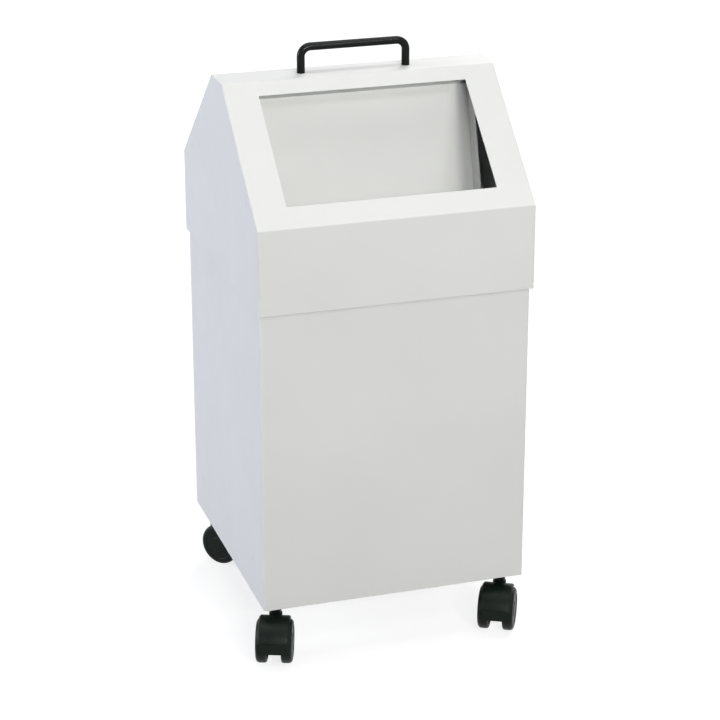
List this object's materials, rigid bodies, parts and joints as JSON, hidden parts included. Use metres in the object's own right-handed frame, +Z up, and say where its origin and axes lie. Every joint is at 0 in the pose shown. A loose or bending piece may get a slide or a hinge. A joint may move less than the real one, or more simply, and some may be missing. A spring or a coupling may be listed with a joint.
{
  "type": "wheeled recycling bin",
  "caption": "Sheet-metal recycling bin on swivel castors, with a lift-off house-shaped hood, a swing flap behind its slanted mouth, an inner liner and a bow handle.",
  "frame": {"origin": "on the floor, under the middle of the body", "axes": "+Z up, the mouth faces -Y, +X to the right of someone who faces the mouth"},
  "size_m": [0.3286, 0.3408, 0.665],
  "materials": {
    "white_paint": "fine-textured grey-white powder coat",
    "zinc_steel": "galvanised steel",
    "black_coat": "glossy black coated steel rod",
    "black_steel": "black steel",
    "black_plastic": "satin moulded nylon"
  },
  "bodies": {
    "bin": {"body_shell": "white_paint", "floor_pan": "white_paint", "liner": "zinc_steel", "castor_rail_front": "white_paint", "castor_rail_rear": "white_paint", "stem_washers": "zinc_steel", "stem_nuts": "zinc_steel", "castor_stem_front_left": "black_steel", "castor_stem_front_right": "black_steel", "castor_stem_rear_left": "black_steel", "castor_stem_rear_right": "black_steel"},
    "hood": {"hood_wrap": "white_paint", "gable_left": "white_paint", "gable_right": "white_paint", "rest_strip_left": "white_paint", "rest_strip_right": "white_paint", "handle": "black_coat", "handle_screws": "zinc_steel", "handle_washers": "zinc_steel", "hinge_bracket_left": "white_paint", "hinge_bracket_right": "white_paint", "hinge_rod": "zinc_steel", "rod_clips": "zinc_steel"},
    "flap": {"flap": "white_paint"},
    "castor_front_left": {"castor_housing_front_left": "black_plastic", "castor_axle_front_left": "zinc_steel"},
    "wheel_front_left_left": {"castor_wheel_front_left_left": "black_plastic"},
    "wheel_front_left_right": {"castor_wheel_front_left_right": "black_plastic"},
    "castor_front_right": {"castor_housing_front_right": "black_plastic", "castor_axle_front_right": "zinc_steel"},
    "wheel_front_right_left": {"castor_wheel_front_right_left": "black_plastic"},
    "wheel_front_right_right": {"castor_wheel_front_right_right": "black_plastic"},
    "castor_rear_left": {"castor_housing_rear_left": "black_plastic", "castor_axle_rear_left": "zinc_steel"},
    "wheel_rear_left_left": {"castor_wheel_rear_left_left": "black_plastic"},
    "wheel_rear_left_right": {"castor_wheel_rear_left_right": "black_plastic"},
    "castor_rear_right": {"castor_housing_rear_right": "black_plastic", "castor_axle_rear_right": "zinc_steel"},
    "wheel_rear_right_left": {"castor_wheel_rear_right_left": "black_plastic"},
    "wheel_rear_right_right": {"castor_wheel_rear_right_right": "black_plastic"}
  },
  "joints": [
    {"name": "hood_lift", "type": "slide", "parent": "bin", "child": "hood", "axis": [0, 0, 1], "range_m": [0, 0.25]},
    {"name": "flap_swing", "type": "hinge", "parent": "hood", "child": "flap", "pos_m": [0, -0.02738, 0.6185], "axis": [1, 0, 0], "range_deg": [-34, 60]},
    {"name": "swivel_front_left", "type": "hinge", "parent": "bin", "child": "castor_front_left", "pos_m": [-0.1335, -0.1335, 0.05], "axis": [0, 0, 1], "continuous": true},
    {"name": "roll_front_left_left", "type": "hinge", "parent": "castor_front_left", "child": "wheel_front_left_left", "pos_m": [-0.1391, -0.14849, 0.025], "axis": [-0.9367, 0.3502, 0], "continuous": true},
    {"name": "roll_front_left_right", "type": "hinge", "parent": "castor_front_left", "child": "wheel_front_left_right", "pos_m": [-0.1391, -0.14849, 0.025], "axis": [-0.9367, 0.3502, 0], "continuous": true},
    {"name": "swivel_front_right", "type": "hinge", "parent": "bin", "child": "castor_front_right", "pos_m": [0.1335, -0.1335, 0.05], "axis": [0, 0, 1], "continuous": true},
    {"name": "roll_front_right_left", "type": "hinge", "parent": "castor_front_right", "child": "wheel_front_right_left", "pos_m": [0.12599, -0.14763, 0.025], "axis": [-0.8829, 0.4695, 0], "continuous": true},
    {"name": "roll_front_right_right", "type": "hinge", "parent": "castor_front_right", "child": "wheel_front_right_right", "pos_m": [0.12599, -0.14763, 0.025], "axis": [-0.8829, 0.4695, 0], "continuous": true},
    {"name": "swivel_rear_left", "type": "hinge", "parent": "bin", "child": "castor_rear_left", "pos_m": [-0.1335, 0.1335, 0.05], "axis": [0, 0, 1], "continuous": true},
    {"name": "roll_rear_left_left", "type": "hinge", "parent": "castor_rear_left", "child": "wheel_rear_left_left", "pos_m": [-0.123, 0.12143, 0.025], "axis": [-0.7547, -0.6561, 0], "continuous": true},
    {"name": "roll_rear_left_right", "type": "hinge", "parent": "castor_rear_left", "child": "wheel_rear_left_right", "pos_m": [-0.123, 0.12143, 0.025], "axis": [-0.7547, -0.6561, 0], "continuous": true},
    {"name": "swivel_rear_right", "type": "hinge", "parent": "bin", "child": "castor_rear_right", "pos_m": [0.1335, 0.1335, 0.05], "axis": [0, 0, 1], "continuous": true},
    {"name": "roll_rear_right_left", "type": "hinge", "parent": "castor_rear_right", "child": "wheel_rear_right_left", "pos_m": [0.13764, 0.11804, 0.025], "axis": [-0.9659, -0.2588, 0], "continuous": true},
    {"name": "roll_rear_right_right", "type": "hinge", "parent": "castor_rear_right", "child": "wheel_rear_right_right", "pos_m": [0.13764, 0.11804, 0.025], "axis": [-0.9659, -0.2588, 0], "continuous": true}
  ]
}
